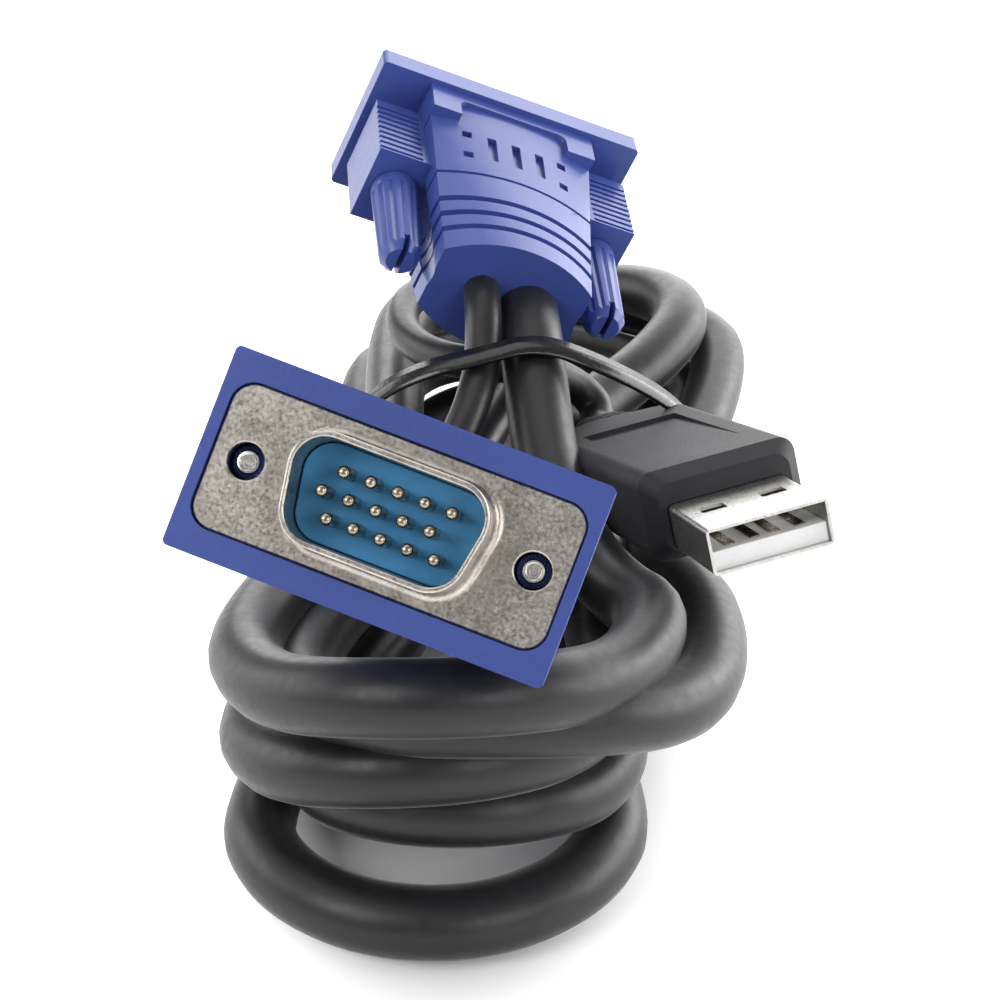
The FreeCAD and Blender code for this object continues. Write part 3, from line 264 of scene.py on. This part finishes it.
def finish(name, dark, light, gloss, cloud_scale, grain_scale, bump, bump_depth, grain_share=0.25, **sockets):
    """A material whose colour and gloss drift between two values, with a fine grain in relief."""
    material, nodes, links, shader = new_material(name, **sockets)
    drift = nodes.new("ShaderNodeGroup")
    drift.node_tree = mottle
    drift.inputs["Cloud Scale"].default_value = cloud_scale
    drift.inputs["Grain Scale"].default_value = grain_scale
    colour = nodes.new("ShaderNodeMix")
    colour.data_type = "RGBA"
    colour.inputs["A"].default_value = (*dark, 1.0)
    colour.inputs["B"].default_value = (*light, 1.0)
    tint = nodes.new("ShaderNodeMix")
    tint.inputs["Factor"].default_value = grain_share
    links.new(drift.outputs["Cloud"], tint.inputs["A"])
    links.new(drift.outputs["Grain"], tint.inputs["B"])
    contrast = nodes.new("ShaderNodeMapRange")
    contrast.inputs["From Min"].default_value, contrast.inputs["From Max"].default_value = 0.3, 0.7
    links.new(tint.outputs["Result"], contrast.inputs["Value"])
    links.new(contrast.outputs["Result"], colour.inputs["Factor"])
    links.new(colour.outputs["Result"], shader.inputs["Base Color"])
    spread = nodes.new("ShaderNodeMapRange")
    spread.inputs["From Min"].default_value, spread.inputs["From Max"].default_value = 0.3, 0.7
    spread.inputs["To Min"].default_value, spread.inputs["To Max"].default_value = gloss
    links.new(drift.outputs["Grain"], spread.inputs["Value"])
    links.new(spread.outputs["Result"], shader.inputs["Roughness"])
    relief = nodes.new("ShaderNodeBump")
    relief.inputs["Strength"].default_value = bump
    relief.inputs["Distance"].default_value = bump_depth
    links.new(drift.outputs["Grain"], relief.inputs["Height"])
    links.new(relief.outputs["Normal"], shader.inputs["Normal"])
    return material


black_vinyl = finish(
    "black_vinyl", (0.007, 0.007, 0.008), (0.013, 0.013, 0.015), (0.36, 0.46), 60.0, 900.0, 0.12, 0.0002,
    Specular_IOR_Level=0.4, Sheen_Weight=0.2, Sheen_Roughness=0.3,
)
main_cable.data.materials.append(black_vinyl)

# The thin cable: a 4 mm lead in the same jacket, about 0.15 m long.
# It leaves the rear hood beside the main cable, loops once behind the tie and ends in the USB plug.
THIN_DIAMETER = 4.0
THIN_EXIT = (3.0, 0.3)
GRIP_LEAN = (-1.8, 0.9)
pigtail_route = [at_plug("rear", *THIN_EXIT, HOOD_END), at_plug("rear", *THIN_EXIT, HOOD_END - 3.0)]
pigtail_route += [
    (-3.8, 2.6, 33.2), (-5.0, -3.4, 30.8), (-6.6, -7.2, 28.6), (-7.8, -8.8, 25.2), (-8.2, -7.4, 22.0),
    (-7.5, -3.6, 20.8), (-5.6, 1.4, 20.8), (-2.6, 10.6, 21.8), (0.6, 21.0, 23.2), (3.2, 32.6, 24.0),
    (0.6, 42.6, 24.5), (-7.0, 44.8, 25.5), (-13.4, 38.2, 26.0), (-14.0, 28.0, 26.0), (-10.4, 19.4, 26.5),
    (-4.2, 14.8, 27.4), (2.0, 15.6, 26.6), (6.6, 18.6, 23.4), (9.6, 17.6, 20.6),
]
pigtail_route += [at_plug("usb", *GRIP_LEAN, -56.0), at_plug("usb", *GRIP_LEAN, -51.5)]
thin_cable = lay_cord("thin_cable", pigtail_route, THIN_DIAMETER * MM)
thin_cable.data.materials.append(black_vinyl)
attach(thin_cable, "cable")
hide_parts("usb_lead")

# The video plugs' hoods: soft blue vinyl moulded over the metal front and the cable's end.
# The edges come out of the mould slightly rounded, with a fine even texture on the skin.


def dress(piece, node, body, material):
    """Gives a new piece its material and its body, and hides the solid that it stands for."""
    piece.data.materials.append(material)
    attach(piece, body)
    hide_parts(node)


def moulded_copy(node, name, body, material, rounding, reshape=None):
    """A node's solid with the small rounded edges of the real piece, their width in millimetres."""
    bm = bmesh.new()
    bm.from_mesh(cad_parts[node].data)
    bmesh.ops.remove_doubles(bm, verts=bm.verts, dist=2e-6)
    bmesh.ops.dissolve_limit(bm, angle_limit=radians(0.4), verts=bm.verts, edges=bm.edges)
    if reshape:
        reshape(bm)
    for face in bm.faces:
        face.smooth = True
    piece = keep(name, bm)
    piece.data.set_sharp_from_angle(angle=radians(30.0))
    edges = piece.modifiers.new("rounded_edges", "BEVEL")
    edges.width = rounding * MM
    edges.segments = 2
    edges.limit_method = "ANGLE"
    edges.angle_limit = radians(30.0)
    edges.use_clamp_overlap = True
    even = piece.modifiers.new("even_shading", "WEIGHTED_NORMAL")
    even.mode = "FACE_AREA_WITH_ANGLE"
    even.keep_sharp = True
    dress(piece, node, body, material)


blue_vinyl = finish(
    "blue_vinyl", (0.042, 0.070, 0.275), (0.054, 0.087, 0.330), (0.28, 0.37), 90.0, 2600.0, 0.10, 0.0001,
)
for end in ("front", "rear"):
    moulded_copy(f"{end}_hood", f"{end}_hood_moulding", "cable", blue_vinyl, 0.18)

# The metal fronts: pressed steel, nickel plated, with the D-shaped shell drawn out of the flange.
# The plating is dull and mottled, and the edges of the shell catch the light.
plated_nickel = finish(
    "plated_nickel", (0.26, 0.235, 0.21), (0.62, 0.58, 0.53), (0.26, 0.42), 420.0, 3200.0, 0.12, 0.00006,
    grain_share=0.45, Metallic=1.0,
)
for end in ("front", "rear"):
    moulded_copy(f"{end}_shell", f"{end}_shell_pressing", "cable", plated_nickel, 0.14)

# The pin blocks: a teal glass-filled moulding with fifteen gold-plated pins in three staggered rows.
# The pins are turned round with a rounded point, and stand in the shell without touching it.
PIN_ROWS = ((1.98, 0.57), (0.0, -0.57), (-1.98, 0.57))
PIN_PITCH = 2.29


def turned_piece(profile, steps):
    """A lathe-turned solid from its half section, as radius and height pairs in millimetres."""
    bm = bmesh.new()
    points = [bm.verts.new((radius, 0.0, height)) for radius, height in profile]
    line = [bm.edges.new(pair) for pair in zip(points, points[1:])]
    bmesh.ops.spin(
        bm, geom=points + line, cent=(0.0, 0.0, 0.0), axis=(0.0, 0.0, 1.0), angle=2 * pi, steps=steps, use_merge=True,
    )
    bmesh.ops.remove_doubles(bm, verts=bm.verts, dist=1e-4)
    bmesh.ops.recalc_face_normals(bm, faces=bm.faces)
    for face in bm.faces:
        face.smooth = True
    return bm


def plug_frame(name, across=0.0):
    """The place of a plug, or of the thumbscrew at one side of it, for a mesh drawn in millimetres."""
    place = Matrix.Scale(MM, 4) @ Matrix.Translation(plug_places[name][0])
    return place @ plug_turn(name).to_4x4() @ Matrix.Translation((across, 0.0, 0.0))


teal_moulding = finish(
    "teal_moulding", (0.050, 0.290, 0.600), (0.064, 0.340, 0.700), (0.42, 0.55), 200.0, 3000.0, 0.12, 0.0001,
)
gold_plate = finish(
    "gold_plate", (0.24, 0.205, 0.15), (0.46, 0.41, 0.32), (0.20, 0.34), 900.0, 4000.0, 0.10, 0.00005, Metallic=1.0,
)
for end in ("front", "rear"):
    moulded_copy(f"{end}_insulator", f"{end}_pin_block", "cable", teal_moulding, 0.10)
    pins = turned_piece(
        [(0.0, 0.4), (0.54, 0.4), (0.54, 4.45), (0.50, 4.72), (0.38, 4.92), (0.20, 5.0), (0.0, 5.02)], 20,
    )
    whole_pin = pins.verts[:] + pins.edges[:] + pins.faces[:]
    for height, shift in PIN_ROWS:
        for column in range(-2, 3):
            copied = bmesh.ops.duplicate(pins, geom=whole_pin)["geom"]
            bmesh.ops.translate(
                pins, verts=[part for part in copied if isinstance(part, bmesh.types.BMVert)],
                vec=(column * PIN_PITCH + shift, height, 0.0),
            )
    bmesh.ops.delete(pins, geom=whole_pin, context="VERTS")
    bmesh.ops.transform(pins, matrix=plug_frame(end), verts=pins.verts)
    round_pins = keep(f"{end}_round_pins", pins)
    round_pins.data.set_sharp_from_angle(angle=radians(50.0))
    dress(round_pins, f"{end}_pins", "cable", gold_plate)

# The thumbscrews: a fluted blue knob with a driver slot, moulded on a nickel-plated steel screw.
# Each one turns freely in its ear, and its tip shows in the round hole of the flange.
screw_nickel = finish(
    "screw_nickel", (0.55, 0.53, 0.50), (0.80, 0.78, 0.75), (0.18, 0.32), 700.0, 3500.0, 0.15, 0.00005, Metallic=1.0,
)
SCREW_OUT = 12.5
KNOB_TOP, KNOB_LONG = 15.8, 14.2
KNOB_SLIM, KNOB_TAPER = 0.80, 0.12
SCREW_PROFILE = [
    (0.0, -1.42), (0.30, -1.42), (0.36, -1.50), (0.60, -1.50), (0.66, -1.26), (0.76, -1.20), (0.90, -1.22),
    (0.98, -1.34), (1.05, -1.75), (1.42, -2.10), (1.42, -23.8), (0.0, -23.8),
]
for end in ("front", "rear"):
    for side in ("left", "right"):
        body = f"{end}_{side}_thumbscrew"
        place = plug_frame(end, -SCREW_OUT if side == "left" else SCREW_OUT)

        def draw_taper(bm):
            """Slims the knob, and more so towards its slotted end."""
            bmesh.ops.transform(bm, matrix=place.inverted(), verts=bm.verts)
            for point in bm.verts:
                share = (-KNOB_TOP - point.co.z) / KNOB_LONG
                point.co.xy *= KNOB_SLIM - KNOB_TAPER * share
            bmesh.ops.transform(bm, matrix=place, verts=bm.verts)

        moulded_copy(f"{end}_{side}_knob", f"{end}_{side}_fluted_knob", body, blue_vinyl, 0.12, draw_taper)
        shank = turned_piece(SCREW_PROFILE, 32)
        bmesh.ops.transform(shank, matrix=place, verts=shank.verts)
        screw = keep(f"{end}_{side}_turned_screw", shank)
        screw.data.set_sharp_from_angle(angle=radians(35.0))
        dress(screw, f"{end}_{side}_screw", body, screw_nickel)

# The USB plug: a bright folded steel shell over a white tongue with four gold contacts.
# Its grip is a dark grey matte moulding that narrows to a neck where the thin cable comes out.
bright_steel = finish(
    "bright_steel", (0.58, 0.57, 0.54), (0.70, 0.69, 0.66), (0.26, 0.36), 300.0, 3200.0, 0.10, 0.00005, Metallic=1.0,
)
white_tongue = finish(
    "white_tongue", (0.82, 0.82, 0.81), (0.92, 0.92, 0.91), (0.42, 0.55), 300.0, 3000.0, 0.10, 0.00005,
)
grey_vinyl = finish(
    "grey_vinyl", (0.024, 0.024, 0.027), (0.036, 0.036, 0.040), (0.50, 0.62), 120.0, 3600.0, 0.25, 0.0001,
    Specular_IOR_Level=0.2,
)
moulded_copy("usb_shell", "usb_folded_shell", "cable", bright_steel, 0.06)
moulded_copy("usb_tongue", "usb_white_tongue", "cable", white_tongue, 0.06)
moulded_copy("usb_contacts", "usb_gold_contacts", "cable", gold_plate, 0.04)


GRIP_FRONT, GRIP_BACK, NECK_END = 14.0, 42.0, 51.0
GRIP_STRETCH, NECK_SHORTER = 4.0, 3.0


def lean_grip(bm):
    """Draws the grip's back out and lets it lean the way the thin cable pulls it."""
    place = plug_frame("usb")
    bmesh.ops.transform(bm, matrix=place.inverted(), verts=bm.verts)
    for point in bm.verts:
        share = min(max((-point.co.z - GRIP_FRONT) / (GRIP_BACK - GRIP_FRONT), 0.0), 1.0)
        past = max(-point.co.z - GRIP_BACK, 0.0) / (NECK_END - GRIP_BACK)
        point.co += Vector((GRIP_LEAN[0] * share, GRIP_LEAN[1] * share, -GRIP_STRETCH * share + NECK_SHORTER * past))
    bmesh.ops.transform(bm, matrix=place, verts=bm.verts)


moulded_copy("usb_mould", "usb_grip_moulding", "cable", grey_vinyl, 0.22, lean_grip)

# The tie: a flat black plastic ribbon with a wire in its middle, wrapped once round the waist of the hank.
# The wire shows as a low ridge along the ribbon.
tie_black = finish(
    "tie_black", (0.008, 0.008, 0.009), (0.014, 0.014, 0.015), (0.14, 0.26), 200.0, 1600.0, 0.20, 0.0001,
)
RIBBON_THICK, RIBBON_TILT, RIDGE_HIGH = 0.4, 0.25, 0.35
tie_loop = [
    (-22.2, 0.0, 3.0), (-19.6, 0.0, 0.4), (12.5, 0.5, 0.4), (17.6, 1.5, 2.4), (20.9, 4.0, 12.0), (20.4, 5.0, 22.4),
    (16.4, 4.0, 27.4), (9.0, 0.8, 32.9), (2.0, 0.0, 36.0), (-4.4, -1.4, 34.7), (-10.0, -1.6, 33.4),
    (-15.5, -0.5, 30.0), (-20.6, 0.0, 23.5), (-22.9, 0.0, 12.0),
]
tie_curve = bpy.data.curves.new("tie_line", "CURVE")
tie_curve.dimensions = "3D"
tie_spline = tie_curve.splines.new("NURBS")
tie_spline.points.add(len(tie_loop) - 1)
for point, place in zip(tie_spline.points, tie_loop):
    point.co = (*(Vector(place) * MM), 1.0)
tie_spline.use_cyclic_u = True
tie_spline.order_u = 3
tie_spline.resolution_u = 10
tie_line = bpy.data.objects.new("tie_line", tie_curve)
ribbon = bmesh.new()
ribbon.from_mesh(bpy.data.meshes.new_from_object(tie_line))
bpy.data.objects.remove(tie_line)
ridge = []
edges = ribbon.edges[:]
for stride, on_wire in ((1.0, False), (0.4, True), (0.4, False), (1.0, False)):
    grown = bmesh.ops.extrude_edge_only(ribbon, edges=edges)["geom"]
    row = [part for part in grown if isinstance(part, bmesh.types.BMVert)]
    edges = [part for part in grown if isinstance(part, bmesh.types.BMEdge) and set(part.verts) <= set(row)]
    bmesh.ops.translate(ribbon, verts=row, vec=(0.0, stride * MM, RIBBON_TILT * stride * MM))
    if on_wire:
        ridge = row
bmesh.ops.recalc_face_normals(ribbon, faces=ribbon.faces)
ribbon.normal_update()
for point in ridge:
    if point.co.z > MM:
        point.co += point.normal * RIDGE_HIGH * MM
for face in ribbon.faces:
    face.smooth = True
twist_tie = keep("twist_tie", ribbon)
wall = twist_tie.modifiers.new("ribbon_thickness", "SOLIDIFY")
wall.thickness = RIBBON_THICK * MM
wall.offset = 0.0
dress(twist_tie, "tie", "cable", tie_black)

bpy.context.view_layer.update()
